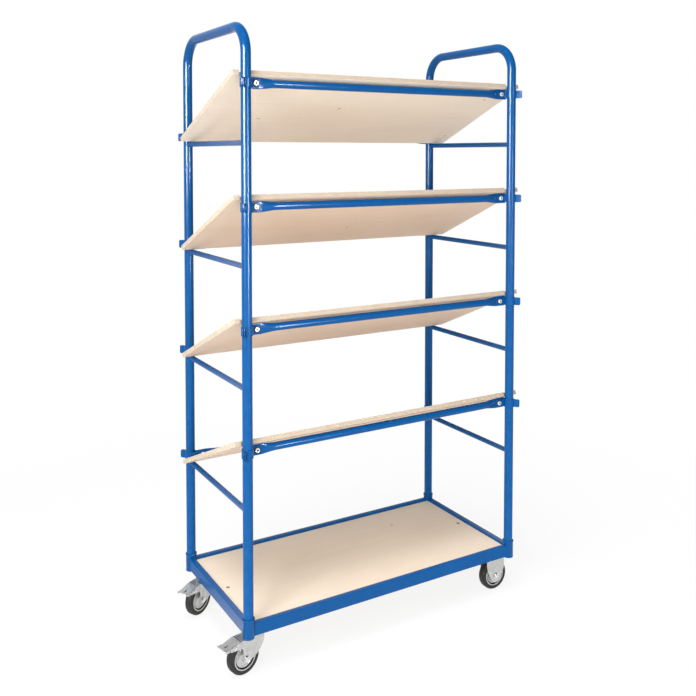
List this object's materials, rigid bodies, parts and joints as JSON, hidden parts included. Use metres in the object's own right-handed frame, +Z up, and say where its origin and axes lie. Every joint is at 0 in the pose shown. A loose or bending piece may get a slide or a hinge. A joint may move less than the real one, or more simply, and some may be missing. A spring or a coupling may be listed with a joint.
{
  "type": "sloped shelf cart",
  "caption": "Tall wheeled trolley of blue steel tube with tilted plywood shelves over a flat deck, push handles at both ends, swivel braked castors at one end and fixed castors at the other.",
  "frame": {"origin": "on the floor, under the middle of the overall box", "axes": "+X along the long side towards the fixed castors, +Y towards the low edge of the shelves, +Z up"},
  "size_m": [1.18, 0.5658, 2.034],
  "materials": {
    "blue_paint": "smooth powder paint",
    "birch_plywood": "sanded birch plywood",
    "zinc_plate": "bright zinc plate",
    "black_rubber": "matt solid rubber"
  },
  "bodies": {
    "frame": {"deck_board": "birch_plywood", "front_left_castor_plate": "zinc_plate", "front_left_clamp_1": "blue_paint", "front_left_clamp_2": "blue_paint", "front_left_clamp_3": "blue_paint", "front_left_clamp_4": "blue_paint", "front_rail": "blue_paint", "front_right_castor_bracket": "zinc_plate", "front_right_clamp_1": "blue_paint", "front_right_clamp_2": "blue_paint", "front_right_clamp_3": "blue_paint", "front_right_clamp_4": "blue_paint", "front_tube_1": "blue_paint", "front_tube_2": "blue_paint", "front_tube_3": "blue_paint", "front_tube_4": "blue_paint", "left_end_rail": "blue_paint", "left_handle_frame": "blue_paint", "left_rung_1": "blue_paint", "left_rung_2": "blue_paint", "left_rung_3": "blue_paint", "left_rung_4": "blue_paint", "rear_left_castor_plate": "zinc_plate", "rear_left_clamp_1": "blue_paint", "rear_left_clamp_2": "blue_paint", "rear_left_clamp_3": "blue_paint", "rear_left_clamp_4": "blue_paint", "rear_rail": "blue_paint", "rear_right_castor_bracket": "zinc_plate", "rear_right_clamp_1": "blue_paint", "rear_right_clamp_2": "blue_paint", "rear_right_clamp_3": "blue_paint", "rear_right_clamp_4": "blue_paint", "rear_tube_1": "blue_paint", "rear_tube_2": "blue_paint", "rear_tube_3": "blue_paint", "rear_tube_4": "blue_paint", "right_end_rail": "blue_paint", "right_handle_frame": "blue_paint", "right_rung_1": "blue_paint", "right_rung_2": "blue_paint", "right_rung_3": "blue_paint", "right_rung_4": "blue_paint", "shelf_board_1": "birch_plywood", "shelf_board_2": "birch_plywood", "shelf_board_3": "birch_plywood", "shelf_board_4": "birch_plywood"},
    "front_left_swivel": {"front_left_castor_fork": "zinc_plate"},
    "front_left_wheel": {"front_left_castor_hub": "zinc_plate", "front_left_castor_tyre": "black_rubber"},
    "front_left_brake": {"front_left_castor_pedal": "zinc_plate"},
    "front_right_wheel": {"front_right_castor_hub": "zinc_plate", "front_right_castor_tyre": "black_rubber"},
    "rear_left_swivel": {"rear_left_castor_fork": "zinc_plate"},
    "rear_left_wheel": {"rear_left_castor_hub": "zinc_plate", "rear_left_castor_tyre": "black_rubber"},
    "rear_left_brake": {"rear_left_castor_pedal": "zinc_plate"},
    "rear_right_wheel": {"rear_right_castor_hub": "zinc_plate", "rear_right_castor_tyre": "black_rubber"}
  },
  "joints": [
    {"name": "front_left_swivel", "type": "hinge", "parent": "frame", "child": "front_left_swivel", "pos_m": [-0.46396, -0.2055, 0.117], "axis": [0, 0, 1], "continuous": true},
    {"name": "front_left_wheel_spin", "type": "hinge", "parent": "front_left_swivel", "child": "front_left_wheel", "pos_m": [-0.50309, -0.21382, 0.055], "axis": [-0.2079, 0.9781, 0], "continuous": true},
    {"name": "front_left_brake_pedal", "type": "hinge", "parent": "front_left_swivel", "child": "front_left_brake", "pos_m": [-0.54417, -0.22255, 0.104], "axis": [0.2079, -0.9781, 0], "range_deg": [0, 15]},
    {"name": "front_right_wheel_spin", "type": "hinge", "parent": "frame", "child": "front_right_wheel", "pos_m": [0.51404, -0.2055, 0.055], "axis": [0, 1, 0], "continuous": true},
    {"name": "rear_left_swivel", "type": "hinge", "parent": "frame", "child": "rear_left_swivel", "pos_m": [-0.46396, 0.2055, 0.117], "axis": [0, 0, 1], "continuous": true},
    {"name": "rear_left_wheel_spin", "type": "hinge", "parent": "rear_left_swivel", "child": "rear_left_wheel", "pos_m": [-0.49928, 0.18672, 0.055], "axis": [-0.4695, 0.8829, 0], "continuous": true},
    {"name": "rear_left_brake_pedal", "type": "hinge", "parent": "rear_left_swivel", "child": "rear_left_brake", "pos_m": [-0.53637, 0.167, 0.104], "axis": [0.4695, -0.8829, 0], "range_deg": [0, 15]},
    {"name": "rear_right_wheel_spin", "type": "hinge", "parent": "frame", "child": "rear_right_wheel", "pos_m": [0.51404, 0.2055, 0.055], "axis": [0, 1, 0], "continuous": true}
  ]
}
